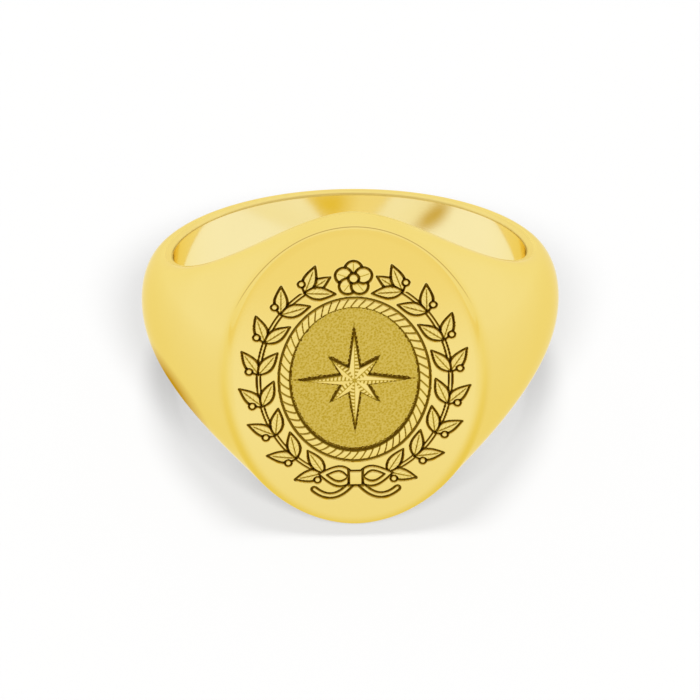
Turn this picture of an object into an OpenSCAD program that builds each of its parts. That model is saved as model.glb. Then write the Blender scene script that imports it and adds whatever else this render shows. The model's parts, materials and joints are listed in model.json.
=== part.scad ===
// Signet ring with an oval engraved table, built up from separate pieces round a finger sleeve.
// The ring lies on its side, as it rests on a flat surface, with its table tilted up.
// Inside this file the finger hole runs along Z and the table faces -Y; the last step lays it down.
// Angles round the ring are in degrees from the middle of the table.

/* [Finger hole] */
// Inside diameter of the ring
finger_d = 19; // [16:0.1:22]
// Wall of the finger sleeve
sleeve_wall = 0.4; // [0.3:0.05:0.6]
// Clearance between the sleeve and the pieces round it
sleeve_fit = 0.03; // [0.02:0.01:0.06]

/* [Shank] */
// Width of the band at the back
shank_w = 4.4; // [3.4:0.1:6]
// Thickness of the band at the back, with the sleeve
shank_t = 1.75; // [1.6:0.05:2.4]

/* [Head] */
// Width of the table across the finger
table_w = 13; // [11:0.1:14.5]
// Length of the table along the finger
table_l = 16.4; // [14:0.1:18]
// Height of the table above the finger hole
table_rise = 2; // [1.8:0.1:3]
// How far the head stands out past each end of the table
head_lip = 0.06; // [0.05:0.01:0.2]
// Metal between the table's side and the seam to the shoulder
seam_margin = 1; // [0.6:0.1:1.6]

/* [Shoulders] */
// Angle over which the head's width falls away towards the shank
flare_spread = 48; // [44:1:56]
// Roundness of the flare
flare_power = 1.75; // [1.6:0.05:2]
// Angle at which the shoulders end and the shank begins
shoulder_end = 100; // [90:1:120]

/* [Table plate] */
// Thickness of the engraved plate
plate_t = 0.9; // [0.7:0.05:1.1]
// Width of the head's rim round the plate
plate_border = 0.5; // [0.4:0.05:0.8]
// Clearance round the edge of the plate
plate_fit = 0.03; // [0.02:0.01:0.06]
// Depth of the sunk ground in the middle of the plate
ground_depth = 0.2; // [0.1:0.05:0.35]
// Width of the sunk ground
ground_w = 6.4; // [5:0.1:8]
// Length of the sunk ground
ground_l = 7.8; // [6:0.1:10]
// Reach of the raised star's long points
star_reach = 2.7; // [2:0.1:3]
// Reach of the raised star's short points
star_side_reach = 1.7; // [1.3:0.1:2]
// Reach of the notches between the star's points
star_notch = 0.75; // [0.5:0.05:1]

/* [Engraved lines] */
// Width of the engraved lines
line_w = 0.12; // [0.08:0.01:0.16]
// Depth of the engraved lines
line_depth = 0.1; // [0.05:0.01:0.15]
// Width of the rope border round the sunk ground
rope_w = 0.55; // [0.4:0.05:0.7]
// Number of strands round the rope border
rope_strands = 54; // [36:1:60]

/* [Wreath] */
// Distance from the rope border to the stems of the wreath
stem_gap = 1; // [0.9:0.05:1.2]
// Width of a stem
stem_w = 0.18; // [0.17:0.01:0.24]
// Pairs of leaves on each stem
leaf_pairs = 8; // [5:1:9]
// Length of a leaf
leaf_l = 1.5; // [1.1:0.05:1.6]
// Width of a leaf
leaf_w = 0.64; // [0.5:0.02:0.8]
// Angle between a leaf and its stem
leaf_splay = 36; // [30:1:42]
// Diameter of a berry
berry_d = 0.34; // [0.28:0.02:0.44]
// Distance of a berry from the foot of its leaves
berry_stalk = 0.5; // [0.45:0.01:0.6]

/* [Rosette] */
// Number of petals
petals = 5; // [4:1:7]
// Diameter of a petal
petal_d = 0.84; // [0.7:0.02:1]
// Distance of the petals' middles from the rosette's middle
petal_off = 0.5; // [0.4:0.02:0.6]
// Diameter of the rosette's middle
rosette_heart_d = 0.52; // [0.4:0.02:0.6]

/* [Bow] */
// Length of a loop
loop_l = 1.9; // [1.6:0.1:2.4]
// Width of a loop
loop_w = 1.15; // [1:0.05:1.4]
// Width of the ribbon
ribbon_w = 0.28; // [0.2:0.02:0.34]
// Reach of the tails to each side
tail_reach = 2.1; // [1.8:0.1:2.6]
// Drop of the tails below the middle of the knot
tail_drop = 1; // [0.8:0.05:1.2]
// Width of the knot
knot_w = 0.72; // [0.5:0.02:0.9]
// Length of the knot
knot_l = 0.84; // [0.6:0.02:1]

/* [Solder] */
// Thickness of the solder seams
solder_t = 0.1; // [0.05:0.01:0.15]

/* [Pegs] */
// Diameter of the pegs under the table plate
table_peg_d = 0.8; // [0.6:0.05:1]
// Distance between the pegs under the table plate
table_peg_gap = 7; // [6:0.1:8]
// Depth of these pegs in the plate
table_peg_in_plate = 0.4; // [0.3:0.05:0.5]
// Depth of these pegs in the head
table_peg_in_head = 0.6; // [0.4:0.05:0.7]
// Diameter of the pegs between the head and the shoulders
shoulder_peg_d = 1; // [0.7:0.05:1.2]
// Distance between the two pegs of a shoulder
shoulder_peg_gap = 5; // [3:0.1:6]
// Length of the pegs of a shoulder
shoulder_peg_l = 2.4; // [1.6:0.1:3]
// Diameter of the pegs between the shoulders and the shank
shank_peg_d = 0.6; // [0.4:0.05:0.7]
// Length of the pegs of the shank
shank_peg_l = 2; // [1.4:0.1:2.6]
// Clearance round the pegs and at their ends
peg_fit = 0.03; // [0.02:0.01:0.05]

/* [Hidden] */

gold = [0.93, 0.80, 0.42];
plate_gold = [0.95, 0.83, 0.45];
sleeve_gold = [0.91, 0.75, 0.30];
solder_gold = [0.86, 0.74, 0.42];
peg_gold = [0.85, 0.68, 0.28];

// Largest angle between two sections of the body
section_step = 2;
// Parts into which the domed outside of a section is divided
dome_parts = 32;
// Points round an oval
oval_points = 96;
// Number of points of the star
star_points = 8;
// Angles of the lowest and the highest pair of leaves round the wreath
first_leaf = -70;
last_leaf = 60;
// Angle between a berry's stalk and the stem
berry_splay = 75;
// Upward slant of the bow's loops
loop_slant = 8;
// Parts into which the edge of a leaf, a tail and a stem are divided
leaf_parts = 6;
tail_parts = 6;
stem_parts = 16;
// How much further a leaf's point moves than its sides, where its outline grows
point_stretch = 1.5;
// Overlap of a cut with the air beyond a face
cut_over = 0.5;
// Fineness of the circles among the engraved lines, and of the other circles
engraved_fn = 16;
$fn = 96;

finger_r = finger_d / 2;
rim_r = finger_r + sleeve_wall;
// Inside of the pieces round the sleeve, at the corners between their flat facets
wall_r = (rim_r + sleeve_fit) / cos(section_step / 2);
table_y = finger_r + table_rise;
table_a = table_w / 2;
table_b = table_l / 2;
band_half = shank_w / 2;
head_half = table_b + head_lip;
back_dome = shank_t - sleeve_wall;
plate_a = table_a - plate_border;
plate_b = table_b - plate_border;
pocket_depth = plate_t + solder_t;
rope_a = ground_w / 2 + rope_w;
rope_b = ground_l / 2 + rope_w;
stem_a = rope_a + stem_gap;
stem_b = rope_b + stem_gap;
line_half = line_w / 2;

table_angle = atan(table_a / table_y);
head_seam = atan((table_a + seam_margin) / table_y);
head_solder_angle = arc_angle(solder_t, table_y);
shank_solder_angle = arc_angle(solder_t, finger_r + shank_t);
shoulder_start = head_seam + head_solder_angle;
shank_start = shoulder_end + shank_solder_angle;
shoulder_peg_angle = head_seam + head_solder_angle / 2;
shank_peg_angle = shoulder_end + shank_solder_angle / 2;
shoulder_peg_r = (wall_r + rim_r + dome(shoulder_peg_angle)) / 2;
shank_peg_r = (wall_r + rim_r + dome(shank_peg_angle)) / 2;

// Tilt at which the head's lower rim and the back of the band touch the same flat surface
rest_tilt = settled_tilt(atan((head_half - band_half) / (finger_r + rim_r)), 8);

// Half the length of the band's lower edge below the bore's axis plane, seen along the tilt
function band_support(tilt) = norm([back_dome * sin(tilt), band_half * cos(tilt)]);
function settled_tilt(tilt, rounds) =
  rounds == 0 ? tilt
  : settled_tilt(atan((head_half - band_support(tilt) / cos(tilt)) / (finger_r + rim_r)), rounds - 1);

function arc_angle(length, radius) = length / radius * 180 / PI;

// Angle from the middle of the table, for an angle from -180 to 360
function off_table(a) = a > 180 ? 360 - a : abs(a);

// Half the width of the ring at an angle: a bell curve from the head down to the band
function half_width(a) =
  band_half + (head_half - band_half) * exp(-pow(off_table(a) / flare_spread, flare_power));

// A smooth step from 0 to 1
function ease(t) =
  let (u = max(0, min(1, t)))
  u * u * u * (u * (6 * u - 15) + 10);

// Height of the section's dome at which the plane of the table cuts an exact oval from the head
function head_dome(a) =
  let (
    t = min(off_table(a), 88),
    across = table_y * tan(t) / table_a,
    share = pow(table_b / half_width(a), 2) * (1 - across * across)
  )
  (table_y / cos(t) - rim_r) / sqrt(1 - min(share, 0.9995));

// Height of the section's dome: the head's, easing into the band's along the shoulders
function dome(a) =
  let (s = ease((off_table(a) - table_angle) / (shoulder_end - table_angle)))
  head_dome(a) * (1 - s) + back_dome * s;

// One section of the body as [radius, z] points: part of an ellipse standing round the sleeve
function section(a) =
  let (w = half_width(a), d = dome(a), foot = acos((wall_r - rim_r) / d))
  [for (i = [0 : dome_parts]) let (p = foot * (2 * i / dome_parts - 1)) [rim_r + d * cos(p), w * sin(p)]];

// A rectangular section that holds the sleeve and follows the ring's width
function rim_section(a) =
  let (w = half_width(a))
  [[finger_r - cut_over, -w], [rim_r + cut_over, -w], [rim_r + cut_over, w], [finger_r - cut_over, w]];

// A section's points, turned to an angle round the ring
function placed(points, a) = [for (p = points) [p[0] * sin(a), -p[0] * cos(a), p[1]]];

// Triangles between two neighbouring sections of n points
function band_faces(first, second, n) = [
  for (j = [0 : n - 1])
    let (k = (j + 1) % n)
    each [[first + j, first + k, second + k], [first + j, second + k, second + j]]
];

// A stretch of the ring's body between two angles, from the sleeve outwards
module body_slice(from, to) {
  steps = ceil((to - from) / section_step);
  n = len(section(from));
  points = [for (i = [0 : steps]) let (a = from + (to - from) * i / steps) each placed(section(a), a)];
  sides = [for (i = [0 : steps - 1]) each band_faces(i * n, (i + 1) * n, n)];
  start_cap = [for (j = [n - 1 : -1 : 0]) j];
  end_cap = [for (j = [0 : n - 1]) steps * n + j];
  polyhedron(points, concat(sides, [start_cap, end_cap]), convexity = 6);
}

// The closed ring within which the sleeve is trimmed to the ring's width
module rim_ring() {
  steps = ceil(360 / section_step);
  n = len(rim_section(0));
  points = [for (i = [0 : steps - 1]) let (a = 360 * i / steps) each placed(rim_section(a), a)];
  faces = [for (i = [0 : steps - 1]) each band_faces(i * n, (i + 1) % steps * n, n)];
  polyhedron(points, faces, convexity = 6);
}

module laid_down() {
  rotate([-rest_tilt, 0, 0]) children();
}

module oval(a, b) {
  polygon([for (i = [0 : oval_points - 1]) let (t = 360 * i / oval_points) [a * cos(t), b * sin(t)]]);
}

// Places a shape at a depth below the table, with its Z out of the table and its Y along the finger
module below_table(depth) {
  translate([0, depth - table_y, 0]) rotate([90, 0, 0]) children();
}

// Takes away what stands past the plane of the table
module table_cut() {
  below_table(0) translate([-2 * table_w, -table_l, 0]) cube([4 * table_w, 2 * table_l, 4 * table_l]);
}

module plate_pocket() {
  below_table(pocket_depth) linear_extrude(pocket_depth + cut_over)
    oval(plate_a + plate_fit, plate_b + plate_fit);
}

module star_outline() {
  polygon([
    for (i = [0 : 2 * star_points - 1])
      let (tip = i % 4 == 0 ? star_reach : star_side_reach, r = i % 2 == 0 ? tip : star_notch)
      [r * sin(180 * i / star_points), r * cos(180 * i / star_points)]
  ]);
}

// The sunk ground round the raised star
module sunk_ground() {
  below_table(ground_depth) linear_extrude(ground_depth + cut_over) difference() {
    oval(ground_w / 2, ground_l / 2);
    star_outline();
  }
}

// The rope border: a line round it, and the slanted lines between its strands
module rope_lines() {
  difference() {
    oval(rope_a + line_half, rope_b + line_half);
    oval(rope_a - line_half, rope_b - line_half);
  }
  for (i = [0 : rope_strands - 1]) strand_line(360 * i / rope_strands, 360 / rope_strands);
}

// A line across the rope that leans over by an angle, from the sunk ground to the line round the rope
module strand_line(turn, lean) {
  inner = [ground_w / 2 * cos(turn), ground_l / 2 * sin(turn)];
  outer = [rope_a * cos(turn - lean), rope_b * sin(turn - lean)];
  along = (outer - inner) / norm(outer - inner);
  side = line_half * [-along[1], along[0]];
  foot = inner - line_half * along;
  polygon([foot - side, outer - side, outer + side, foot + side]);
}

// A pointed leaf along X, whose outline is moved outwards by grow
module leaf(l, w, grow) {
  point_move = point_stretch * grow;
  half = w / 2 + grow;
  edge = [
    for (i = [0 : leaf_parts])
      let (s = i / leaf_parts)
      [(l + 2 * point_move) * s - point_move, half * sin(180 * pow(s, 0.8))]
  ];
  polygon(concat(edge, [for (i = [leaf_parts - 1 : -1 : 1]) [edge[i][0], -edge[i][1]]]));
}

module both_sides() {
  children();
  mirror([1, 0, 0]) children();
}

// Places a shape at a pair of leaves, counted from the top, with its X along the stem
module at_leaves(i) {
  t = last_leaf - (last_leaf - first_leaf) * i / (leaf_pairs - 1);
  translate([stem_a * cos(t), stem_b * sin(t)])
    rotate(atan2(stem_b * cos(t), -stem_a * sin(t)))
      children();
}

// A stem, as wide to each side as half
module stem(half) {
  turns = [for (i = [0 : stem_parts]) first_leaf + (last_leaf - first_leaf) * i / stem_parts];
  outer = [for (t = turns) [(stem_a + half) * cos(t), (stem_b + half) * sin(t)]];
  inner = [for (t = turns) [(stem_a - half) * cos(t), (stem_b - half) * sin(t)]];
  polygon(concat(outer, [for (i = [stem_parts : -1 : 0]) inner[i]]));
}

module leaf_set(grow) {
  for (i = [0 : leaf_pairs - 1], side = [-1, 1])
    at_leaves(i) rotate(side * leaf_splay) leaf(leaf_l, leaf_w, grow);
}

module berry_set(grow) {
  for (i = [0 : leaf_pairs - 1])
    at_leaves(i) rotate(-berry_splay) translate([berry_stalk, 0]) circle(d = berry_d + 2 * grow);
}

// The stem and the leaf at its end, which lie under the pairs of leaves
module stem_lines() {
  difference() {
    stem(stem_w / 2 + line_half);
    stem(stem_w / 2 - line_half);
  }
  at_leaves(0) difference() {
    leaf(leaf_l, leaf_w, line_half);
    leaf(leaf_l, leaf_w, -line_half);
  }
}

// One branch of the wreath: the berries lie over the leaves, and the leaves over the stem
module branch_lines() {
  difference() {
    union() {
      difference() {
        stem_lines();
        leaf_set(0);
      }
      difference() {
        leaf_set(line_half);
        leaf_set(-line_half);
      }
    }
    berry_set(0);
  }
  difference() {
    berry_set(line_half);
    berry_set(-line_half);
  }
}

module petal_set(grow) {
  for (i = [0 : petals - 1])
    rotate(90 + 360 * i / petals) translate([petal_off, 0]) circle(d = petal_d + 2 * grow);
}

// The rosette over the top of the wreath: its outline, the lines between its petals and its middle
module rosette_lines() {
  half_turn = 180 / petals;
  overlap = max(0, pow(petal_d / 2, 2) - pow(petal_off * sin(half_turn), 2));
  cleft = petal_off * cos(half_turn) + sqrt(overlap);
  translate([0, stem_b]) {
    difference() {
      petal_set(line_half);
      petal_set(-line_half);
      circle(d = rosette_heart_d);
    }
    difference() {
      for (i = [0 : petals - 1])
        rotate(90 + half_turn + 360 * i / petals) translate([0, -line_half]) square([cleft, line_w]);
      circle(d = rosette_heart_d);
    }
    difference() {
      circle(d = rosette_heart_d + line_w);
      circle(d = rosette_heart_d - line_w);
    }
  }
}

// A point of a curve with three control points, and the direction across the curve there
function bend_point(p, t) = (1 - t) * (1 - t) * p[0] + 2 * t * (1 - t) * p[1] + t * t * p[2];
function bend_side(p, t) =
  let (d = (1 - t) * (p[1] - p[0]) + t * (p[2] - p[1]))
  [-d[1], d[0]] / norm(d);

// The right-hand tail of the bow, from behind the knot
module tail(grow) {
  half = ribbon_w / 2 + grow;
  path = [[0, 0], [tail_reach / 2, -1.6 * tail_drop], [tail_reach, -0.6 * tail_drop]];
  steps = [for (i = [0 : tail_parts]) (1 + grow / tail_reach) * i / tail_parts];
  upper = [for (t = steps) bend_point(path, t) + half * bend_side(path, t)];
  lower = [for (t = steps) bend_point(path, t) - half * bend_side(path, t)];
  polygon(concat(upper, [for (i = [tail_parts : -1 : 0]) lower[i]]));
}

module loop(grow) {
  rotate(loop_slant) leaf(loop_l, loop_w, grow);
}

module knot(grow) {
  square([knot_w + 2 * grow, knot_l + 2 * grow], center = true);
}

// The whole bow, which hides the foot of the wreath
module bow_shape() {
  both_sides() {
    tail(0);
    loop(0);
  }
  knot(0);
}

// The lines of the bow: the knot lies over the loops, and the loops over the tails
module bow_lines() {
  difference() {
    both_sides() {
      difference() {
        tail(line_half);
        tail(-line_half);
        loop(0);
      }
      difference() {
        loop(line_half);
        loop(-line_half);
      }
      difference() {
        loop(line_half - ribbon_w);
        loop(-line_half - ribbon_w);
      }
    }
    knot(0);
  }
  difference() {
    knot(line_half);
    knot(-line_half);
  }
}

// All the lines that are engraved round the sunk ground
module engraved_lines() {
  $fn = engraved_fn;
  below_table(line_depth) linear_extrude(line_depth + cut_over) {
    rope_lines();
    difference() {
      both_sides() branch_lines();
      translate([0, -stem_b]) bow_shape();
    }
    translate([0, -stem_b]) bow_lines();
    rosette_lines();
  }
}

// The pegs under the table plate, grown by a clearance where they are cut as holes
module table_peg_set(fit) {
  for (side = [-1, 1])
    below_table(pocket_depth + table_peg_in_head + fit)
      translate([side * table_peg_gap / 2, 0, 0])
        cylinder(d = table_peg_d + 2 * fit, h = table_peg_in_head + solder_t + table_peg_in_plate + 2 * fit);
}

// A peg across a seam at an angle round the ring
module seam_peg(angle, radius, z, d, l) {
  rotate([0, 0, angle]) translate([0, -radius, z]) rotate([0, 90, 0]) cylinder(d = d, h = l, center = true);
}

module shoulder_peg_set(fit) {
  for (side = [-1, 1], end = [-1, 1])
    seam_peg(side * shoulder_peg_angle, shoulder_peg_r, end * shoulder_peg_gap / 2,
      shoulder_peg_d + 2 * fit, shoulder_peg_l + 2 * fit);
}

module shank_peg_set(fit) {
  for (side = [-1, 1])
    seam_peg(side * shank_peg_angle, shank_peg_r, 0, shank_peg_d + 2 * fit, shank_peg_l + 2 * fit);
}

// The right-hand shoulder; the left-hand one is its mirror image
module shoulder_shape() {
  difference() {
    body_slice(shoulder_start, shoulder_end);
    shoulder_peg_set(peg_fit);
    shank_peg_set(peg_fit);
  }
}

module shoulder_seam() {
  difference() {
    body_slice(head_seam, shoulder_start);
    shoulder_peg_set(peg_fit);
  }
}

module shank_seam() {
  difference() {
    body_slice(shoulder_end, shank_start);
    shank_peg_set(peg_fit);
  }
}

module finger_sleeve() {
  color(sleeve_gold) laid_down() intersection() {
    difference() {
      cylinder(r = rim_r, h = 2 * head_half + 2 * cut_over, center = true);
      cylinder(r = finger_r, h = 2 * head_half + 4 * cut_over, center = true);
    }
    rim_ring();
  }
}

module shank() {
  color(gold) laid_down() difference() {
    body_slice(shank_start, 360 - shank_start);
    shank_peg_set(peg_fit);
  }
}

module shoulder_left() {
  color(gold) laid_down() mirror([1, 0, 0]) shoulder_shape();
}

module shoulder_right() {
  color(gold) laid_down() shoulder_shape();
}

module head() {
  color(gold) laid_down() difference() {
    body_slice(-head_seam, head_seam);
    table_cut();
    plate_pocket();
    table_peg_set(peg_fit);
    shoulder_peg_set(peg_fit);
  }
}

module table_plate() {
  color(plate_gold) laid_down() difference() {
    below_table(plate_t) linear_extrude(plate_t) oval(plate_a, plate_b);
    sunk_ground();
    engraved_lines();
    table_peg_set(peg_fit);
  }
}

module table_solder() {
  color(solder_gold) laid_down() difference() {
    below_table(pocket_depth) linear_extrude(solder_t) oval(plate_a, plate_b);
    table_peg_set(peg_fit);
  }
}

module shoulder_solder_left() {
  color(solder_gold) laid_down() mirror([1, 0, 0]) shoulder_seam();
}

module shoulder_solder_right() {
  color(solder_gold) laid_down() shoulder_seam();
}

module shank_solder_left() {
  color(solder_gold) laid_down() mirror([1, 0, 0]) shank_seam();
}

module shank_solder_right() {
  color(solder_gold) laid_down() shank_seam();
}

module table_pegs() {
  color(peg_gold) laid_down() table_peg_set(0);
}

module shoulder_pegs() {
  color(peg_gold) laid_down() shoulder_peg_set(0);
}

module shank_pegs() {
  color(peg_gold) laid_down() shank_peg_set(0);
}

finger_sleeve();
shank();
shoulder_left();
shoulder_right();
head();
table_plate();
table_solder();
shoulder_solder_left();
shoulder_solder_right();
shank_solder_left();
shank_solder_right();
table_pegs();
shoulder_pegs();
shank_pegs();
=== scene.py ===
import json
import math

import bmesh
import bpy
import numpy as np
from mathutils import Matrix, Vector


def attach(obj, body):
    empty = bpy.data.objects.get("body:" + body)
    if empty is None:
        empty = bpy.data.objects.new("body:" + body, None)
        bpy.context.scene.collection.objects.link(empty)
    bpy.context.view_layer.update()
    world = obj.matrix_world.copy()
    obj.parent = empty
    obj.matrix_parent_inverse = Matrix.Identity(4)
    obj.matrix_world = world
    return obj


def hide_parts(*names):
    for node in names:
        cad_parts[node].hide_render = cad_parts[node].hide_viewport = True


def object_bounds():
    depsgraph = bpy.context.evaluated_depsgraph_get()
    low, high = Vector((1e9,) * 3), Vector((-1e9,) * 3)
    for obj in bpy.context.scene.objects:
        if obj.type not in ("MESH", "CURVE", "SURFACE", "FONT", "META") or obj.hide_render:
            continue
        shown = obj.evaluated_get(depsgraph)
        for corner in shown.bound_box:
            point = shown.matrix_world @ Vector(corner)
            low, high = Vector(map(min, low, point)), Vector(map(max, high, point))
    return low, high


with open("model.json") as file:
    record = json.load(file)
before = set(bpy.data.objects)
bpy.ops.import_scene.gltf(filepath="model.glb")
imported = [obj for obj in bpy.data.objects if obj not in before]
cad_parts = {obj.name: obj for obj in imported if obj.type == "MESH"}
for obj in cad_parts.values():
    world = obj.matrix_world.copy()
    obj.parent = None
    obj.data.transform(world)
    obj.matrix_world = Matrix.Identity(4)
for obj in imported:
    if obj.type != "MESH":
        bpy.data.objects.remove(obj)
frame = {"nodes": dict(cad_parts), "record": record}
cad_low, cad_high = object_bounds()

# Sizes are in millimetres, in the ring's own frame: the finger hole runs along Z and the table faces -Y.
# Angles are in degrees, round the ring from the middle of the table.
MM = 0.001
bore = frame["record"]["mounts"][0]
FINGER_R = bore["dims"]["r_mm"]
HEAD_HALF = bore["dims"]["length_mm"] / 2
TILT = math.atan2(bore["axis"][1], bore["axis"][2])
SLEEVE_WALL = 0.4
SHANK_W = 4.4
SHANK_T = 1.75
TABLE_W = 13.0
TABLE_L = 16.4
TABLE_RISE = 2.0
SEAM_MARGIN = 1.0
FLARE_SPREAD = 48.0
FLARE_POWER = 1.75
SHOULDER_END = 100.0
PLATE_T = 0.9
PLATE_BORDER = 0.5
SOLDER_T = 0.1
BORE_EDGE_ROUND = 0.2

# Limits that keep the formula of the head's dome finite away from the head: an angle and a share
DOME_ANGLE_LIMIT = 88
DOME_SHARE_LIMIT = 0.9995

# The rounding of the table's edge: its reach, how much crisper it is at the top, and how suddenly it gets so
TABLE_EDGE_SETBACK = 0.42
TOP_CRISPNESS = 0.68
TOP_POWER = 6

# Painted shade along the table's edge, a band of deeper yellow: its reach, its depth at the sides, and how
# much that grows to the foot
EDGE_SHADE_REACH = 0.32
EDGE_SHADE_AT_SIDES = 0.7
EDGE_SHADE_GROWTH = 0.6

RIM_R = FINGER_R + SLEEVE_WALL
TABLE_Y = FINGER_R + TABLE_RISE
TABLE_A = TABLE_W / 2
TABLE_B = TABLE_L / 2
BAND_HALF = SHANK_W / 2
BACK_DOME = SHANK_T - SLEEVE_WALL
PLATE_A = TABLE_A - PLATE_BORDER
PLATE_B = TABLE_B - PLATE_BORDER
POCKET_DEPTH = PLATE_T + SOLDER_T
TABLE_ANGLE = math.degrees(math.atan(TABLE_A / TABLE_Y))
HEAD_SEAM = math.degrees(math.atan((TABLE_A + SEAM_MARGIN) / TABLE_Y))
SHOULDER_START = HEAD_SEAM + math.degrees(SOLDER_T / TABLE_Y)
SHANK_START = SHOULDER_END + math.degrees(SOLDER_T / (FINGER_R + SHANK_T))

# Fineness of the meshes
ANGLE_STEP = 0.6
DOME_PARTS = 72
WALL_PARTS = 8
BORE_EDGE_PARTS = 12
SLEEVE_STEPS = 600
OVAL_STEPS = 480
CORNER_TRIES = 2000
POCKET_ROWS = 6
BORDER_ROWS = 2
ROUNDING_ROWS = 11
OUTSIDE_ROWS = 32
INSIDE_ROWS = 8
PLATE_CELL = 0.034
CURVE_PARTS = 16
SLOPE_STEP = 0.01
WELD = 0.00001
SHARP_ANGLE = 35
PLATE_SHARP_ANGLE = 60

# The engraving on the table plate
LINE_HALF = 0.08
LINE_DEPTH = 0.12
SHAPE_EDGE = 0.05
CROWN = 0.05
CROWN_REACH = 0.3
GROUND_A = 3.2
GROUND_B = 3.9
GROUND_DEPTH = 0.2
GROUND_EDGE = 0.08
GROUND_LINE_DEPTH = 0.05
GROUND_PATINA = 0.38
STIPPLE_PITCH = 0.115
STIPPLE_DEPTH = 0.03
STIPPLE_PATINA = 0.2
ROPE_W = 0.55
ROPE_STRANDS = 54
ROPE_MARGIN = 0.06
ROPE_ROUND = 0.06
STAR_REACH = 2.7
STAR_SIDE_REACH = 1.7
STAR_NOTCH = 0.75
STAR_POINTS = 8
STAR_SLOPE = 0.25
HATCH_PITCH = 0.19
HATCH_INSET = 0.05
RIDGE_INSET = 0.02
STEM_GAP = 1.0
STEM_A = GROUND_A + ROPE_W + STEM_GAP
STEM_B = GROUND_B + ROPE_W + STEM_GAP
STEM_HALF = 0.09
STEM_DEPTH = 0.02
STEM_LINE_HALF = 0.055
FIRST_LEAF = math.radians(-70)
LAST_LEAF = math.radians(60)
LEAF_PAIRS = 8
LEAF_L = 1.5
LEAF_W = 0.64
LEAF_SPLAY = math.radians(36)
LEAF_POWER = 0.8
RIB_START = 0.05
RIB_END = 0.8
VEIN_PITCH = 0.22
VEIN_SLANT = 0.9
VEIN_INSET = 0.1
BERRY_R = 0.17
BERRY_OFF = 0.5
BERRY_BEARING = math.radians(75)
BERRY_LINE_HALF = 0.06
LOOP_L = 1.9
LOOP_W = 1.15
LOOP_SLANT = math.radians(8)
RIBBON_W = 0.28
EYE_INSET = 1.5 * RIBBON_W
TAIL_REACH = 2.1
TAIL_DROP = 1.0
TAIL_SAG = 1.6
TAIL_END = 0.6
KNOT_W = 0.72
KNOT_L = 0.84
PETALS = 5
PETAL_R = 0.42
PETAL_OFF = 0.5
CREASE_REACH = 0.8
CREASE_INSET = 0.12
HEART_R = 0.26

# The finer grooves: half their width, their depth, and how dark they are, from 0 to 1
LEAF_RIB = {"half": 0.045, "depth": 0.05, "dark": 0.8}
LEAF_VEIN = {"half": 0.035, "depth": 0.02, "dark": 0.4}
ROPE_GAP = {"half": 0.065, "depth": 0.06, "dark": 0.85}
STAR_EDGE = {"half": 0.07, "depth": 0.04, "dark": 1.0}
STAR_HATCH = {"half": 0.055, "depth": 0.04, "dark": 0.75}
STAR_RIDGE = {"half": 0.04, "depth": 0.02, "dark": 0.55}
PETAL_CREASE = {"half": 0.04, "depth": 0.03, "dark": 0.6}

# A distance from a line at which nothing is cut, and the least slope that an oval's distance is divided by
FAR_OFF = 1.0
LEAST_SLOPE = 1e-6

# The punch marks of the stipple: radius as a share of the pitch, least strength, and the fixed numbers that
# scatter them as if by chance
MARK_R = 0.55
MARK_LEAST = 0.35
SCATTER = 43758.5453
SCATTER_WAVES = ((127.1, 311.7), (269.5, 183.3), (419.2, 371.9))

# Linear colours of the metal
EDGE_TINT = (0.97, 0.89, 0.56)
BODY_COLOUR = (0.915, 0.735, 0.25)
BODY_SHADE = (0.905, 0.72, 0.235)
# The deeper yellow that is painted as shade along the table's edge
EDGE_SHADE_COLOUR = (0.85, 0.62, 0.09)
# The lining's gold, painted paler than the body's gold: a painted highlight for the bright bands in the
# finger hole
SLEEVE_HIGHLIGHT_COLOUR = (0.95, 0.82, 0.42)
SLEEVE_HIGHLIGHT_SHADE = (0.94, 0.81, 0.41)
GROUND_COLOUR = (0.56, 0.395, 0.038)
GROOVE_COLOUR = (0.19, 0.122, 0.012)
WHITE = (1, 1, 1)
BLACK = (0, 0, 0)

# The roughness of the metal, and the share by which it varies
BODY_ROUGH = 0.08
SOLDER_ROUGH = 0.085
SLEEVE_ROUGH = 0.1
PEG_ROUGH = 0.3
BORE_EDGE_ROUGH = 0.4
GROOVE_ROUGH = 0.5
ROUGH_SWING = 0.3

# Scale and detail of the metal's patterns: the drift of its colour, the clouds in its gloss, the mop's marks
DRIFT = (260, 2)
CLOUDS = (900, 4)
MARKS = (9000, 3)
MARKS_STRETCH = (1.0, 0.08, 1.0)
MARKS_STRENGTH = 0.03
MARKS_DEPTH = 0.02

# Where the colours lie, from 0 to 1: shade and colour in the drift, and in the patina the polished colour
# from its first place to its second, the ground and the groove
DRIFT_STOPS = (0.3, 0.7)
PATINA_STOPS = (0.0, 0.15, 0.5, 0.95)

# The floor: half its length, its own white, and what is added to it
FLOOR_HALF = 1000.0
FLOOR_MATT = 0.08
FLOOR_LIFT = 0.37

# Lamps that light the floor alone: bearing and height over the floor, in degrees, and level, where 1 is the
# world's light
SHADOW_SOFTNESS = 17.0
SHADOW_LAMPS = {"front_left": (-20, 42, 2.0), "front_right": (20, 42, 2.6), "overhead": (180, 80, 2.4)}

# The floor as the metal mirrors it, by distances: white under the ring, warm close to it as painted shade and
# gold bounce light from the ring, white again and warm far in front
UNDER_RING = 11.5
NEAR_SHADE_AND_BOUNCE = (0.96, 0.92, 0.75)
NEAR_START = 15.0
NEAR_END = 50.0
FAR_TINT = (0.97, 0.905, 0.67)
FAR_START = 85.0
FAR_END = 150.0

# Shaded spots on the mirrored floor, which the lining shows as its dark bar and its gold middle: place,
# how far each is full, how far it reaches, and tint
SHADED_SPOTS = {
    "bar": (-10.2, -2.5, 1.5, 4.8, (0.62, 0.42, 0.03)),
    "middle": (1.5, -7.3, 0.8, 2.4, (0.88, 0.74, 0.12)),
}

# The dim arch over the front: its height and its soft edge, in degrees, and its colour
DIM_HEIGHT = 60
DIM_INNER = 8
DIM_OUTER = 25
DIM_COLOUR = (0.58, 0.48, 0.36)

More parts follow.
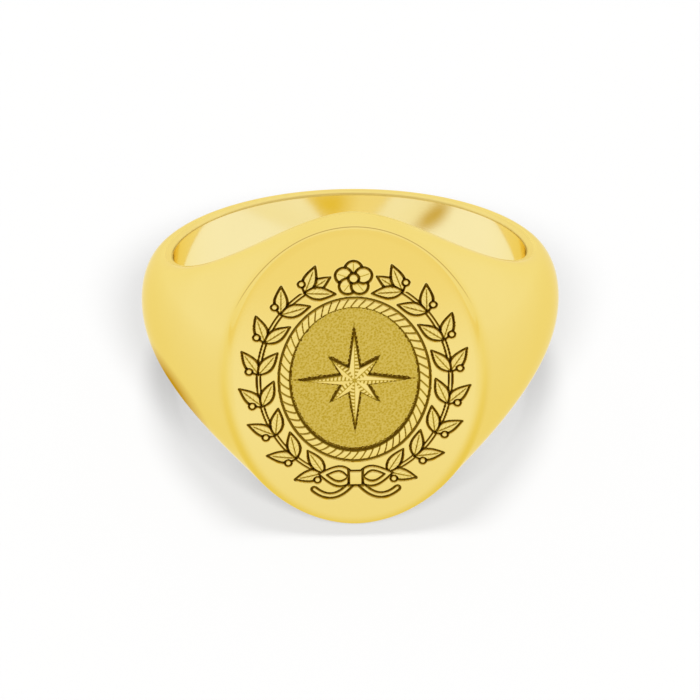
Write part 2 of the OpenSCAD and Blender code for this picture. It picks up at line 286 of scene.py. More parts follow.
# The camera, placed by its bearing from a point in the ring
VIEW_AZIMUTH = -1.071
VIEW_ELEVATION = 41.714
VIEW_ROLL = -0.325
VIEW_DISTANCE = 114.26
VIEW_TARGET = (-0.058, -2.149, -2.412)
VIEW_LENS = 108.0
VIEW_SENSOR = 36.0
VIEW_NEAREST = 5.0


def ring_point(radius, angle, z):
    """Points at a radius and an angle round the finger hole, at a height along it."""
    turn = np.radians(angle)
    radius, turn, z = np.broadcast_arrays(radius, turn, z)
    return np.stack([radius * np.sin(turn), -radius * np.cos(turn), z], -1)


def table_point(x, z, height=0.0):
    """Points over the table, at a height above its plane."""
    return np.stack(np.broadcast_arrays(x, -TABLE_Y - height, z), -1)


def lay_down(points):
    """Turns points from the ring's own frame to the ring as it lies, in metres."""
    x, y, z = np.moveaxis(np.asarray(points, float), -1, 0)
    c, s = math.cos(TILT), math.sin(TILT)
    return np.stack([x, y * c + z * s, z * c - y * s], -1) * MM


def off_table(angle):
    """How far an angle lies from the middle of the table, either way round."""
    return 180 - np.abs(180 - np.abs(angle))


def half_width(angle):
    """Half the ring's width: a bell curve from the head down to the band."""
    fall = (off_table(angle) / FLARE_SPREAD) ** FLARE_POWER
    return BAND_HALF + (HEAD_HALF - BAND_HALF) * np.exp(-fall)


def ease(share):
    """A soft step from 0 to 1."""
    t = np.clip(share, 0, 1)
    return t * t * t * (t * (6 * t - 15) + 10)


def dome(angle):
    """Height of the section's dome: the head's, which the table cuts in an oval, easing into the band's."""
    turn = np.radians(np.minimum(off_table(angle), DOME_ANGLE_LIMIT))
    across = TABLE_Y * np.tan(turn) / TABLE_A
    share = (TABLE_B / half_width(angle)) ** 2 * (1 - across ** 2)
    front = (TABLE_Y / np.cos(turn) - RIM_R) / np.sqrt(1 - np.minimum(share, DOME_SHARE_LIMIT))
    blend = ease((off_table(angle) - TABLE_ANGLE) / (SHOULDER_END - TABLE_ANGLE))
    return front * (1 - blend) + BACK_DOME * blend


def body_point(angle, lift):
    """Points of the body's outside; lift runs over the section from -90 at one rim to 90 at the other."""
    rise = np.radians(lift)
    return ring_point(RIM_R + dome(angle) * np.cos(rise), angle, half_width(angle) * np.sin(rise))


def grid_faces(rows, columns, close_rows=False, close_columns=False):
    """Four-sided faces between the points of a grid."""
    i, j = np.meshgrid(
        np.arange(rows if close_rows else rows - 1),
        np.arange(columns if close_columns else columns - 1),
        indexing="ij",
    )
    below, beside = (i + 1) % rows, (j + 1) % columns
    corners = [i * columns + j, i * columns + beside, below * columns + beside, below * columns + j]
    return np.stack(corners, -1).reshape(-1, 4).tolist()


def add_piece(name, node, material, points, faces, sharp=SHARP_ANGLE, paint=None):
    """Makes a finished piece from points in the ring's frame and puts it in place of its CAD node.
    paint holds values for the points that the material reads by name."""
    mesh = bpy.data.meshes.new(name)
    mesh.from_pydata(lay_down(points).tolist(), [], faces)
    for layer, values in (paint or {}).items():
        mesh.attributes.new(layer, "FLOAT", "POINT").data.foreach_set("value", values.astype(np.float32))
    tidy = bmesh.new()
    tidy.from_mesh(mesh)
    bmesh.ops.remove_doubles(tidy, verts=tidy.verts, dist=WELD * MM)
    bmesh.ops.recalc_face_normals(tidy, faces=tidy.faces)
    tidy.to_mesh(mesh)
    tidy.free()
    mesh.shade_smooth()
    mesh.set_sharp_from_angle(angle=math.radians(sharp))
    mesh.materials.append(material)
    piece = bpy.data.objects.new(name, mesh)
    bpy.context.scene.collection.objects.link(piece)
    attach(piece, "root")
    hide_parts(node)


def body_slice(name, node, slot, material, start, end):
    """A stretch of the ring's body between two angles, from the sleeve outwards."""
    steps = max(2, math.ceil((end - start) / ANGLE_STEP))
    angle = np.linspace(start, end, steps + 1)[:, None]
    outside = body_point(angle, np.linspace(-90, 90, DOME_PARTS + 1)[None, :])
    across = np.linspace(1, -1, WALL_PARTS + 1)[None, 1:-1]
    inside = ring_point(RIM_R, angle, half_width(angle) * across)
    section = np.concatenate([outside, inside], 1)
    rows, columns = section.shape[:2]
    caps = [list(range(columns)), list(range((rows - 1) * columns, rows * columns))]
    faces = grid_faces(rows, columns, close_columns=True) + caps
    add_piece(name, node, material, section.reshape(-1, 3), faces)


def sleeve_piece(name, material, sections):
    """Closed rings that follow the lining; each section point is (radius, share of half the width, inset)."""
    angle = np.linspace(-180, 180, SLEEVE_STEPS, endpoint=False)[:, None]
    points, faces = np.zeros((0, 3)), []
    for section in sections:
        outline = np.array(section)
        z = outline[:, 1] * half_width(angle) + outline[:, 2]
        ring = grid_faces(SLEEVE_STEPS, len(outline), close_rows=True, close_columns=True)
        faces += [[len(points) + corner for corner in face] for face in ring]
        points = np.concatenate([points, ring_point(outline[:, 0], angle, z).reshape(-1, 3)])
    add_piece(name, "finger_sleeve", material, points, faces)


def finger_sleeve(material, edge_material):
    """The lining: its wall and its two rounded edges at the finger hole."""
    e = BORE_EDGE_ROUND
    wall = [(FINGER_R, s, -s * e) for s in np.linspace(-1, 1, WALL_PARTS + 1)]
    turns = np.radians(np.linspace(0, 90, BORE_EDGE_PARTS + 1))
    edge = [(FINGER_R + e - e * math.cos(t), 1, e * math.sin(t) - e) for t in turns]
    edge += [(RIM_R, 1, 0), (RIM_R, 1, -e)]
    other_edge = [(r, -share, -inset) for r, share, inset in edge]
    sleeve_piece("finger_sleeve_edges", edge_material, [edge, other_edge])
    sleeve_piece("finger_sleeve_bore", material, [wall + [(RIM_R, 1, -e), (RIM_R, -1, e)]])


def painted_edge_shade(distance, turn):
    """How much painted shade lies near the table's edge, from 0 to 1: most at the foot, least at the top."""
    depth = np.clip(EDGE_SHADE_AT_SIDES - EDGE_SHADE_GROWTH * np.sin(turn), 0, 1)
    return np.exp(-(distance / EDGE_SHADE_REACH) ** 2) * depth


def table_edge(turn):
    """The table's edge on the body, as an angle and a lift, by the turn round its oval."""
    angle = np.degrees(np.arctan(TABLE_A * np.cos(turn) / TABLE_Y))
    lift = np.degrees(np.arcsin(TABLE_B * np.sin(turn) / half_width(angle)))
    return angle, lift


def edge_turns():
    """Turns round the table's oval, with one toward each corner of the head."""
    quarter = np.linspace(0, math.pi / 2, CORNER_TRIES + 1)
    angle, lift = table_edge(quarter)
    corner = quarter[np.argmin(np.abs(np.abs(angle) / HEAD_SEAM - np.abs(lift) / 90))]
    corners = [corner, math.pi - corner, math.pi + corner, 2 * math.pi - corner]
    even = np.linspace(0, 2 * math.pi, OVAL_STEPS, endpoint=False)
    far = [t for t in even if min(abs(t - c) for c in corners) > math.pi / OVAL_STEPS]
    return np.sort(np.concatenate([far, corners]))


def dome_start(angle, lift, along, setback):
    """The angle and lift at which the dome begins, a setback away from the table's edge, square to it."""
    step = SLOPE_STEP
    by_angle = (body_point(angle + step, lift) - body_point(angle - step, lift)) / (2 * step)
    by_lift = (body_point(angle, lift + step) - body_point(angle, lift - step)) / (2 * step)
    move_angle = (by_lift * along).sum(1)
    move_lift = -(by_angle * along).sum(1)
    outward = np.sign(move_angle * angle + move_lift * lift)
    length = np.linalg.norm(by_angle * move_angle[:, None] + by_lift * move_lift[:, None], axis=1)
    move = setback * outward / length
    return angle + move_angle * move, lift + move_lift * move


def head(material):
    """The head: rows of points run from the pocket's floor over the table's edge and back round inside."""
    turn = edge_turns()
    angle, lift = table_edge(turn)
    grow = 1 / np.maximum(np.abs(angle) / HEAD_SEAM, np.abs(lift) / 90)
    end_angle, end_lift = angle * grow, lift * grow
    crease = body_point(angle, lift)
    along = table_point(-TABLE_A * np.sin(turn), TABLE_B * np.cos(turn)) + [0, TABLE_Y, 0]
    along /= np.linalg.norm(along, axis=1, keepdims=True)
    inward = np.stack([-along[:, 2], 0 * turn, along[:, 0]], -1)

    upper = np.where(np.sin(turn) > 0, 1 - np.cos(turn) ** TOP_POWER, 0)
    setback = TABLE_EDGE_SETBACK * (1 - TOP_CRISPNESS * upper)
    start_angle, start_lift = dome_start(angle, lift, along, setback)
    on_table = crease + inward * setback[:, None]
    on_dome = body_point(start_angle, start_lift)
    bend = ((crease - on_table) * (on_dome - crease)).sum(1) / setback ** 2
    weight = np.sqrt((1 + np.clip(bend, -1, 1)) / 2)[:, None]

    x, z = np.cos(turn), np.sin(turn)
    plate_edge = table_point(PLATE_A * x, PLATE_B * z)
    rows = []
    for s in np.linspace(0, 1, POCKET_ROWS + 1)[1:]:
        rows.append(table_point(PLATE_A * x * s, PLATE_B * z * s, -POCKET_DEPTH))
    for s in np.linspace(0, 1, BORDER_ROWS + 1):
        rows.append(plate_edge + (on_table - plate_edge) * s)
    for t in np.linspace(0, 1, ROUNDING_ROWS + 1)[1:-1]:
        a, b, c = (1 - t) ** 2, 2 * t * (1 - t) * weight, t ** 2
        rows.append((a * on_table + b * crease + c * on_dome) / (a + b + c))
    for s in np.linspace(0, 1, OUTSIDE_ROWS + 1):
        rows.append(body_point(start_angle + (end_angle - start_angle) * s,
                               start_lift + (end_lift - start_lift) * s))
    end_z = half_width(end_angle) * np.sin(np.radians(end_lift))
    for s in np.linspace(1, 0, INSIDE_ROWS + 1)[:-1]:
        rows.append(ring_point(RIM_R, end_angle * s, end_z * s))

    columns = len(turn)
    # Painted shade along the table's edge, strongest at the foot
    edge_shade = painted_edge_shade(np.linalg.norm(np.array(rows) - crease, axis=-1), turn).ravel()
    centres = [table_point(0, 0, -POCKET_DEPTH), ring_point(RIM_R, 0, 0)]
    points = np.concatenate([*rows, centres])
    faces = grid_faces(len(rows), columns, close_columns=True)
    last = (len(rows) - 1) * columns
    for j in range(columns):
        k = (j + 1) % columns
        faces.append([len(points) - 2, j, k])
        faces.append([len(points) - 1, last + k, last + j])
    paint = {"painted_edge_shade": np.append(edge_shade, [0, 0])}
    add_piece("head_body", "head", material, points, faces, paint=paint)


def oval_distance(u, v, a, b):
    """Distance outside an oval's edge, exact near the edge."""
    level = np.hypot(u / a, v / b)
    slope = np.hypot(u / a ** 2, v / b ** 2)
    return level * (level - 1) / np.maximum(slope, LEAST_SLOPE)


def path_distance(u, v, path):
    """Distance to a line through points."""
    nearest = np.full(u.shape, np.inf)
    for (x0, y0), (x1, y1) in zip(path[:-1], path[1:]):
        dx, dy = x1 - x0, y1 - y0
        share = np.clip(((u - x0) * dx + (v - y0) * dy) / (dx * dx + dy * dy), 0, 1)
        nearest = np.minimum(nearest, np.hypot(u - x0 - share * dx, v - y0 - share * dy))
    return nearest


class Engraving:
    """The engraved face: at each point, u across and v along the table, a height and a patina from 0 to 1."""

    def __init__(self, u, v):
        self.u, self.v = u, v
        self.height = np.zeros(u.shape)
        self.patina = np.zeros(u.shape)

    def lay(self, inside, height, patina, edge=SHAPE_EDGE):
        """Lays a shape over what is there; inside is the distance within its edge."""
        share = np.clip(0.5 + inside / edge, 0, 1)
        self.height += (height - self.height) * share
        self.patina += (patina - self.patina) * share

    def cut(self, distance, half=LINE_HALF, depth=LINE_DEPTH, dark=1.0):
        """Cuts a rounded groove along the line where distance is 0."""
        share = np.clip(1 - (distance / half) ** 2, 0, 1)
        self.height -= depth * share
        self.patina = np.maximum(self.patina, dark * share)

    def raise_shape(self, inside, reach=CROWN_REACH, line_half=LINE_HALF):
        """A polished shape with rounded shoulders and a groove round it."""
        slope = 1 - np.clip(inside / reach, 0, 1)
        self.lay(inside, -CROWN * slope ** 2, 0.0)
        self.cut(inside, half=line_half)

    def leaf(self, base, heading, length, width, veined=True):
        """A pointed leaf, drawn on both halves of the face, with a rib and veins."""
        u, v = np.abs(self.u) - base[0], self.v - base[1]
        c, s = math.cos(heading), math.sin(heading)
        along, side = (u * c + v * s) / length, np.abs(v * c - u * s)
        half = width / 2 * np.sin(np.pi * np.clip(along, 0, 1) ** LEAF_POWER)
        past = np.maximum(np.maximum(-along, along - 1), 0) * length
        inside = half - side - past
        self.raise_shape(inside)
        if veined:
            on_rib = (along > RIB_START) & (along < RIB_END)
            self.cut(np.where(on_rib, side, FAR_OFF), **LEAF_RIB)
            vein = np.abs(np.mod(along * length - VEIN_SLANT * side, VEIN_PITCH) - VEIN_PITCH / 2)
            self.cut(np.where(inside > VEIN_INSET, vein, FAR_OFF), **LEAF_VEIN)


def stipple(u, v, pitch):
    """Jittered punch marks of about the pitch's size, as depths from 0 to 1."""
    deepest = np.zeros(u.shape)
    for du in (-1, 0, 1):
        for dv in (-1, 0, 1):
            i, j = np.floor(u / pitch) + du, np.floor(v / pitch) + dv
            shift_u, shift_v, strength = (
                np.mod(np.sin(i * p + j * q) * SCATTER, 1) for p, q in SCATTER_WAVES
            )
            reach = np.hypot(u - (i + shift_u) * pitch, v - (j + shift_v) * pitch)
            mark = np.clip(1 - (reach / (MARK_R * pitch)) ** 2, 0, 1)
            deepest = np.maximum(deepest, mark * (MARK_LEAST + (1 - MARK_LEAST) * strength))
    return deepest


def curve(points):
    """Points along a curve with three control points."""
    t = np.linspace(0, 1, CURVE_PARTS + 1)[:, None]
    a, b, c = np.array(points, float)
    return a * (1 - t) ** 2 + 2 * b * t * (1 - t) + c * t ** 2


def engrave_wreath(face):
    """Two laurel branches: a stem on an oval, with pairs of leaves and berries."""
    u, v = face.u, face.v
    stem = np.abs(oval_distance(u, v, STEM_A, STEM_B))
    on_stem = (v < STEM_B * math.sin(LAST_LEAF)) & (v > STEM_B * math.sin(FIRST_LEAF))
    face.lay(np.where(on_stem, STEM_HALF - stem, -FAR_OFF), -STEM_DEPTH, 0.0)
    face.cut(np.where(on_stem, stem - STEM_HALF, FAR_OFF), half=STEM_LINE_HALF)
    for t in np.linspace(LAST_LEAF, FIRST_LEAF, LEAF_PAIRS):
        base = (STEM_A * math.cos(t), STEM_B * math.sin(t))
        heading = math.atan2(STEM_B * math.cos(t), -STEM_A * math.sin(t))
        if t == LAST_LEAF:
            face.leaf(base, heading, LEAF_L, LEAF_W)
        face.leaf(base, heading - LEAF_SPLAY, LEAF_L, LEAF_W)
        face.leaf(base, heading + LEAF_SPLAY, LEAF_L, LEAF_W)
        turn = heading - BERRY_BEARING
        place = (base[0] + BERRY_OFF * math.cos(turn), base[1] + BERRY_OFF * math.sin(turn))
        berry = BERRY_R - np.hypot(np.abs(u) - place[0], v - place[1])
        face.raise_shape(berry, reach=BERRY_R, line_half=BERRY_LINE_HALF)


def engrave_ground(face):
    """The sunk, stippled oval in its rope border."""
    u, v = face.u, face.v
    edge = oval_distance(u, v, GROUND_A, GROUND_B)
    face.lay(ROPE_W - edge, 0.0, 0.0)
    face.cut(edge - ROPE_W)
    turn = np.arctan2(v / GROUND_B, u / GROUND_A) / (2 * math.pi)
    strand = np.mod(turn * ROPE_STRANDS + edge / ROPE_W, 1)
    strand_l = math.pi * (GROUND_A + GROUND_B + ROPE_W) / ROPE_STRANDS
    gap = np.minimum(strand, 1 - strand) * strand_l
    in_rope = (edge > ROPE_MARGIN) & (edge < ROPE_W - ROPE_MARGIN)
    face.height -= np.where(in_rope, ROPE_ROUND * (2 * edge / ROPE_W - 1) ** 2, 0)
    face.cut(np.where(in_rope, gap, FAR_OFF), **ROPE_GAP)
    marks = stipple(u, v, STIPPLE_PITCH)
    sunk = -GROUND_DEPTH - STIPPLE_DEPTH * marks
    face.lay(-edge, sunk, GROUND_PATINA + STIPPLE_PATINA * marks, edge=GROUND_EDGE)
    face.cut(edge, depth=GROUND_LINE_DEPTH)


def engrave_star(face):
    """The raised star: each point is ridged, with a plain half and a half hatched with fine lines."""
    u, v = face.u, face.v
    reach, bearing = np.hypot(u, v), np.arctan2(u, v)
    sector = 2 * math.pi / STAR_POINTS
    nearest = np.round(bearing / sector)
    off_ridge = bearing - nearest * sector
    tip = np.where(np.mod(nearest, 2) == 0, STAR_REACH, STAR_SIDE_REACH)
    along, side = reach * np.cos(off_ridge), np.abs(reach * np.sin(off_ridge))
    notch_x, notch_y = STAR_NOTCH * math.cos(sector / 2), STAR_NOTCH * math.sin(sector / 2)
    inside = ((tip - along) * notch_y - side * (tip - notch_x)) / np.hypot(tip - notch_x, notch_y)
    face.lay(inside, -STAR_SLOPE * side, 0.0)
    face.cut(inside, **STAR_EDGE)
    hatch = np.abs(np.mod(reach, HATCH_PITCH) - HATCH_PITCH / 2)
    hatched = (off_ridge > 0) & (inside > HATCH_INSET)
    face.cut(np.where(hatched, hatch, FAR_OFF), **STAR_HATCH)
    face.cut(np.where(inside > RIDGE_INSET, side, FAR_OFF), **STAR_RIDGE)


def engrave_bow(face):
    """The bow that ties the branches at the foot."""
    u, v = np.abs(face.u), face.v + STEM_B
    path = curve([(0, 0), (TAIL_REACH / 2, -TAIL_SAG * TAIL_DROP), (TAIL_REACH, -TAIL_END * TAIL_DROP)])
    tail = RIBBON_W / 2 - path_distance(u, v, path)
    face.raise_shape(tail)
    face.leaf((0, -STEM_B), LOOP_SLANT, LOOP_L, LOOP_W, veined=False)
    eye = (EYE_INSET * math.cos(LOOP_SLANT), EYE_INSET * math.sin(LOOP_SLANT) - STEM_B)
    face.leaf(eye, LOOP_SLANT, LOOP_L - 2 * EYE_INSET, LOOP_W - 2 * RIBBON_W, veined=False)
    face.raise_shape(np.minimum(KNOT_W / 2 - u, KNOT_L / 2 - np.abs(v)))


def engrave_rosette(face):
    """A flower of round petals at the top."""
    u, v = face.u, face.v - STEM_B
    for i in range(PETALS):
        t = math.pi / 2 + 2 * math.pi * i / PETALS
        petal = PETAL_R - np.hypot(u - PETAL_OFF * math.cos(t), v - PETAL_OFF * math.sin(t))
        face.raise_shape(petal, reach=PETAL_R)
        crease = path_distance(u, v, [(0, 0), (CREASE_REACH * math.cos(t), CREASE_REACH * math.sin(t))])
        face.cut(np.where(petal > CREASE_INSET, crease, FAR_OFF), **PETAL_CREASE)
    face.raise_shape(HEART_R - np.hypot(u, v), reach=HEART_R)


def engraved_face(u, v):
    """Heights and patina of the whole face."""
    face = Engraving(u, v)
    engrave_wreath(face)
    engrave_ground(face)
    engrave_star(face)
    engrave_bow(face)
    engrave_rosette(face)
    return np.minimum(face.height, 0.0), np.clip(face.patina, 0, 1)


def table_plate(material):
    """The engraved plate: a grid of points that fills the oval, with closed sides and a flat underside."""
    across = int(2 * PLATE_A / PLATE_CELL)
    along = int(2 * PLATE_B / PLATE_CELL)
    s, t = np.meshgrid(np.linspace(-1, 1, across + 1), np.linspace(-1, 1, along + 1), indexing="ij")
    u = PLATE_A * s * np.sqrt(1 - t * t / 2)
    v = PLATE_B * t * np.sqrt(1 - s * s / 2)
    height, patina = engraved_face(u, v)
    index = np.arange(u.size).reshape(u.shape)
    rim = np.concatenate([index[:-1, 0], index[-1, :-1], index[:0:-1, -1], index[0, :0:-1]]).tolist()
    top = table_point(u, v, height).reshape(-1, 3)
    under = table_point(u.ravel()[rim], v.ravel()[rim], -PLATE_T)
    faces = grid_faces(across + 1, along + 1)
    count = len(rim)
    for j in range(count):
        k = (j + 1) % count
        faces.append([rim[j], rim[k], len(top) + k, len(top) + j])
    faces.append([len(top) + j for j in range(count)])
    points = np.concatenate([top, under])
    # Painted shade along the table's edge, strongest at the foot
    edge_shade = painted_edge_shade(oval_distance(u, v, TABLE_A, TABLE_B), np.arctan2(v / TABLE_B, u / TABLE_A))
    plain = np.zeros(count)
    paint = {"patina": np.append(patina, plain), "painted_edge_shade": np.append(edge_shade, plain)}
    add_piece("table_plate_engraved", "table_plate", material, points, faces,
              PLATE_SHARP_ANGLE, paint)


def new_material(name):
    material = bpy.data.materials.new(name)
    material.use_nodes = True
    nodes = material.node_tree.nodes
    return material, nodes, material.node_tree.links, nodes["Principled BSDF"]


def ramp(nodes, links, value, places, colours):
    """A colour for a value, blended between colours that have their places from 0 to 1."""
    node = nodes.new("ShaderNodeValToRGB")
    while len(node.color_ramp.elements) < len(places):
        node.color_ramp.elements.new(places[1])
    for element, place, colour in zip(node.color_ramp.elements, places, colours):
        element.position = place
        element.color = (*colour, 1)
    links.new(value, node.inputs["Fac"])
    return node.outputs["Color"]


def spread(nodes, links, source, low, high):
    """Maps a texture's 0 to 1 onto a range."""
    node = nodes.new("ShaderNodeMapRange")
    node.inputs["To Min"].default_value = low
    node.inputs["To Max"].default_value = high
    links.new(source, node.inputs["Value"])
    return node.outputs["Result"]


def tint_between(nodes, links, value, start, tint, end, end_tint):
    """One colour up to a value, and another from a further one on."""
    share = nodes.new("ShaderNodeMapRange")
    share.inputs["From Min"].default_value = start
    share.inputs["From Max"].default_value = end
    links.new(value, share.inputs["Value"])
    return ramp(nodes, links, share.outputs["Result"], (0, 1), (tint, end_tint))


def noise(nodes, links, place, scale, detail):
    node = nodes.new("ShaderNodeTexNoise")
    node.inputs["Scale"].default_value = scale
    node.inputs["Detail"].default_value = detail
    links.new(place, node.inputs["Vector"])
    return node.outputs["Fac"]


def blend_colours(nodes, links, way, colour, tint):
    mix = nodes.new("ShaderNodeMix")
    mix.data_type = "RGBA"
    mix.blend_type = way
    mix.inputs["Factor"].default_value = 1.0
    links.new(colour, mix.inputs["A"])
    links.new(tint, mix.inputs["B"])
    return mix.outputs["Result"]


def math_node(nodes, links, operation, *values):
    """Works out a number from numbers and from other nodes' outputs."""
    node = nodes.new("ShaderNodeMath")
    node.operation = operation
    for socket, value in zip(node.inputs, values):
        if isinstance(value, float):
            socket.default_value = value
        else:
            links.new(value, socket)
    return node.outputs["Value"]


def vector_node(nodes, links, operation, place, other):
    """Works out a number from a place and another vector."""
    node = nodes.new("ShaderNodeVectorMath")
    node.operation = operation
    links.new(place, node.inputs[0])
    node.inputs[1].default_value = other
    return node.outputs["Value"]


def add_painted_edge_shade(nodes, links, colour):
    """The colour, deepened by painted shade near the edge of the table."""
    edge_shade = nodes.new("ShaderNodeAttribute")
    edge_shade.attribute_name = "painted_edge_shade"
    mix = nodes.new("ShaderNodeMix")
    mix.data_type = "RGBA"
    links.new(edge_shade.outputs["Fac"], mix.inputs["Factor"])
    links.new(colour, mix.inputs["A"])
    mix.inputs["B"].default_value = (*EDGE_SHADE_COLOUR, 1)
    return mix.outputs["Result"]


def gold(name, colour, shade, rough):
    """Polished gold: a faint drift of colour and gloss, fine marks of the polishing mop, and painted shade
    near the table's edge.
    """
    material, nodes, links, shader = new_material(name)
    shader.inputs["Metallic"].default_value = 1.0
    shader.inputs["Specular Tint"].default_value = (*EDGE_TINT, 1)
    place = nodes.new("ShaderNodeTexCoord").outputs["Object"]
    drift = noise(nodes, links, place, *DRIFT)
    tint = ramp(nodes, links, drift, DRIFT_STOPS, (shade, colour))
    # Painted shade deepens the colour near the table's edge
    links.new(add_painted_edge_shade(nodes, links, tint), shader.inputs["Base Color"])
    clouds = noise(nodes, links, place, *CLOUDS)
    gloss = spread(nodes, links, clouds, (1 - ROUGH_SWING) * rough, (1 + ROUGH_SWING) * rough)
    links.new(gloss, shader.inputs["Roughness"])
    stretch = nodes.new("ShaderNodeMapping")
    stretch.inputs["Scale"].default_value = MARKS_STRETCH
    links.new(place, stretch.inputs["Vector"])
    marks = noise(nodes, links, stretch.outputs["Vector"], *MARKS)
    bump = nodes.new("ShaderNodeBump")
    bump.inputs["Strength"].default_value = MARKS_STRENGTH
    bump.inputs["Distance"].default_value = MARKS_DEPTH * MM
    links.new(marks, bump.inputs["Height"])
    links.new(bump.outputs["Normal"], shader.inputs["Normal"])
    return material


def engraved_gold(name, colour, ground, dark):
    """The plate's gold: bright where it is polished, dull in the stippled ground and dark in the grooves."""
    material = gold(name, colour, colour, BODY_ROUGH)
    nodes, links = material.node_tree.nodes, material.node_tree.links
    shader = nodes["Principled BSDF"]
    patina = nodes.new("ShaderNodeAttribute")
    patina.attribute_name = "patina"
    tint = ramp(nodes, links, patina.outputs["Fac"], PATINA_STOPS, (colour, colour, ground, dark))
    # Painted shade deepens the colour near the table's edge
    links.new(add_painted_edge_shade(nodes, links, tint), shader.inputs["Base Color"])
    gloss = spread(nodes, links, patina.outputs["Fac"], BODY_ROUGH, GROOVE_ROUGH)
    links.new(gloss, shader.inputs["Roughness"])
    return material


def mirrored_floor(nodes, links, height):
    """The floor's colour as the metal mirrors it: painted shade and bounce light close to the ring, a far
    tint and shaded spots, without the ring's cast shadow.
    """
    place = nodes.new("ShaderNodeNewGeometry").outputs["Position"]
    away = vector_node(nodes, links, "DISTANCE", place, (0, 0, 0))
    ahead = vector_node(nodes, links, "DOT_PRODUCT", place, (0, -1, 0))
    # Painted shade and gold bounce light close to the ring
    near = tint_between(nodes, links, away, NEAR_START * MM, NEAR_SHADE_AND_BOUNCE, NEAR_END * MM, WHITE)
    under = tint_between(nodes, links, away, UNDER_RING * MM, WHITE, NEAR_START * MM, BLACK)
    far = tint_between(nodes, links, ahead, FAR_START * MM, WHITE, FAR_END * MM, FAR_TINT)
    tone = blend_colours(nodes, links, "LIGHTEN", near, under)
    tone = blend_colours(nodes, links, "MULTIPLY", tone, far)
    for x, y, full, reach, tint in SHADED_SPOTS.values():
        off_spot = vector_node(nodes, links, "DISTANCE", place, (x * MM, y * MM, height))
        shade = tint_between(nodes, links, off_spot, full * MM, tint, reach * MM, WHITE)
        tone = blend_colours(nodes, links, "MULTIPLY", tone, shade)
    return tone


def floor_white(height):
    """The floor's white: the camera sees it with the ring's shadow, and the metal mirrors it tinted."""
    material, nodes, links, shader = new_material("floor_white")
    nodes.remove(shader)
    matt = nodes.new("ShaderNodeBsdfDiffuse")
    matt.inputs["Color"].default_value = (FLOOR_MATT, FLOOR_MATT, FLOOR_MATT, 1)
    lift = nodes.new("ShaderNodeEmission")
    lift.inputs["Strength"].default_value = FLOOR_LIFT
    seen = nodes.new("ShaderNodeAddShader")
    links.new(matt.outputs["BSDF"], seen.inputs[0])
    links.new(lift.outputs["Emission"], seen.inputs[1])
    mirrored = nodes.new("ShaderNodeEmission")
    links.new(mirrored_floor(nodes, links, height), mirrored.inputs["Color"])
    ray = nodes.new("ShaderNodeLightPath").outputs
    from_metal = math_node(nodes, links, "MAXIMUM", ray["Is Glossy Ray"], ray["Is Transmission Ray"])
    choose = nodes.new("ShaderNodeMixShader")
    links.new(from_metal, choose.inputs["Fac"])
    links.new(seen.outputs["Shader"], choose.inputs[1])
    links.new(mirrored.outputs["Emission"], choose.inputs[2])
    links.new(choose.outputs["Shader"], nodes["Material Output"].inputs["Surface"])
    return material


def add_floor(height):
    """A plain white floor."""
    half = FLOOR_HALF * MM
    mesh = bpy.data.meshes.new("floor")
    corners = [(-half, -half, height), (half, -half, height), (half, half, height), (-half, half, height)]
    mesh.from_pydata(corners, [], [[0, 1, 2, 3]])
    mesh.materials.append(floor_white(height))
    floor = bpy.data.objects.new("floor", mesh)
    bpy.context.scene.collection.objects.link(floor)
    return floor


def direction(bearing, height):
    """A direction by its bearing from the front and its height over the floor, in degrees."""
    a, e = math.radians(bearing), math.radians(height)
    return np.array([math.sin(a) * math.cos(e), -math.cos(a) * math.cos(e), math.sin(e)])


def add_shadow_lamp(name, bearing, height, level, lit):
    """A soft lamp that lights the floor, so that the ring throws a shadow on it."""
    data = bpy.data.lights.new(name, "SUN")
    data.angle = math.radians(SHADOW_SOFTNESS)
    data.energy = level * math.pi / math.sin(math.radians(height))
    lamp = bpy.data.objects.new(name, data)
    lamp.rotation_euler = Vector(direction(bearing, height)).to_track_quat("Z", "Y").to_euler()
    lamp.light_linking.receiver_collection = lit
    bpy.context.scene.collection.objects.link(lamp)


def add_world():
    """A white studio with a dim arch from side to side, high over the front."""
    world = bpy.data.worlds.new("studio")
    world.use_nodes = True
    nodes, links = world.node_tree.nodes, world.node_tree.links
    toward = nodes.new("ShaderNodeSeparateXYZ")
    links.new(nodes.new("ShaderNodeTexCoord").outputs["Generated"], toward.inputs["Vector"])
    height = math_node(nodes, links, "ARCTAN2", toward.outputs["Z"], toward.outputs["Y"])
    past_arch = math_node(nodes, links, "SUBTRACT", height, math.radians(180 - DIM_HEIGHT))
    off_arch = math_node(nodes, links, "ABSOLUTE", past_arch)
    inner, outer = math.radians(DIM_INNER), math.radians(DIM_OUTER)
    tone = tint_between(nodes, links, off_arch, inner, DIM_COLOUR, outer, WHITE)
    links.new(tone, nodes["Background"].inputs["Color"])
    bpy.context.scene.world = world


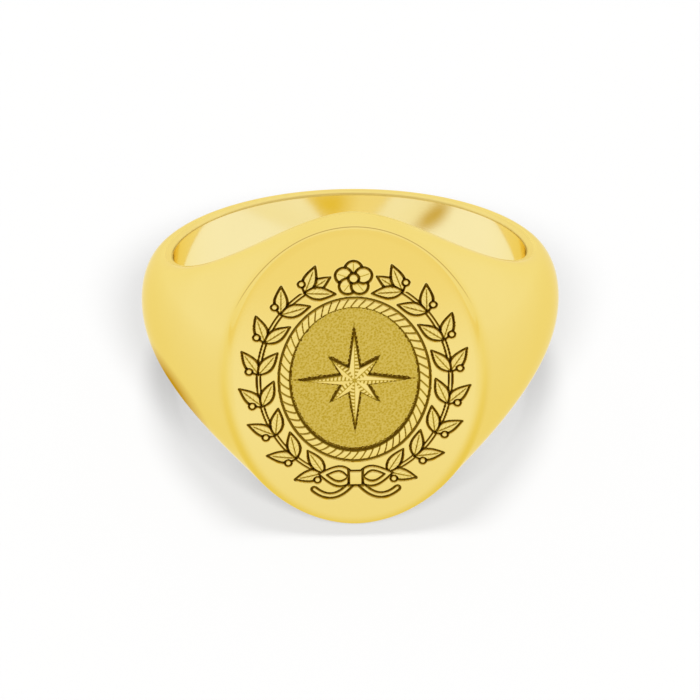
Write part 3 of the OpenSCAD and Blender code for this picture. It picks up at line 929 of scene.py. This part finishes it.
def add_camera():
    """The photograph's camera."""
    azimuth, roll = math.radians(VIEW_AZIMUTH), math.radians(VIEW_ROLL)
    back = direction(VIEW_AZIMUTH, VIEW_ELEVATION)
    level = np.array([math.cos(azimuth), math.sin(azimuth), 0])
    upright = np.cross(back, level)
    right = level * math.cos(roll) + upright * math.sin(roll)
    up = upright * math.cos(roll) - level * math.sin(roll)
    place = (np.array(VIEW_TARGET) + back * VIEW_DISTANCE) * MM
    data = bpy.data.cameras.new("camera")
    data.lens = VIEW_LENS
    data.sensor_width = VIEW_SENSOR
    data.clip_start = VIEW_NEAREST * MM
    camera = bpy.data.objects.new("camera", data)
    camera.matrix_world = Matrix([[right[i], up[i], back[i], place[i]] for i in range(3)] + [[0, 0, 0, 1]])
    bpy.context.scene.collection.objects.link(camera)
    bpy.context.scene.camera = camera


# The metal
body_gold = gold("body_gold", BODY_COLOUR, BODY_SHADE, BODY_ROUGH)
solder_gold = gold("solder_gold", BODY_COLOUR, BODY_SHADE, SOLDER_ROUGH)
peg_gold = gold("peg_gold", BODY_COLOUR, BODY_SHADE, PEG_ROUGH)
plate_gold = engraved_gold("table_gold", BODY_COLOUR, GROUND_COLOUR, GROOVE_COLOUR)
# The lining's paler gold is a painted highlight
sleeve_gold = gold("sleeve_gold", SLEEVE_HIGHLIGHT_COLOUR, SLEEVE_HIGHLIGHT_SHADE, SLEEVE_ROUGH)
edge_gold = gold("edge_gold", BODY_COLOUR, BODY_SHADE, BORE_EDGE_ROUGH)

# The pieces of the scene's own
finger_sleeve(sleeve_gold, edge_gold)
head(body_gold)
table_plate(plate_gold)
body_slice("shank_body", "shank", "body_gold", body_gold, SHANK_START, 360 - SHANK_START)
spans = {
    "shoulder_solder": (HEAD_SEAM, SHOULDER_START, "solder_gold", solder_gold),
    "shoulder": (SHOULDER_START, SHOULDER_END, "body_gold", body_gold),
    "shank_solder": (SHOULDER_END, SHANK_START, "solder_gold", solder_gold),
}
for side, sign in (("left", -1), ("right", 1)):
    for part, (start, end, slot, material) in spans.items():
        node = f"{part}_{side}"
        body_slice(node + "_body", node, slot, material, *sorted((sign * start, sign * end)))

# The solids that stay, each with its metal
kept = {"table_solder": solder_gold}
kept |= {node: peg_gold for node in ("table_pegs", "shoulder_pegs", "shank_pegs")}
for node, material in kept.items():
    mesh = frame["nodes"][node].data
    mesh.materials.clear()
    mesh.materials.append(material)

# The studio
add_camera()
add_world()
floor_lit = bpy.data.collections.new("lit_by_shadow_lamps")
floor_lit.objects.link(add_floor(cad_low.z))
for name, (bearing, height, level) in SHADOW_LAMPS.items():
    add_shadow_lamp("shadow_lamp_" + name, bearing, height, level, floor_lit)
bpy.context.scene.view_settings.view_transform = "Standard"
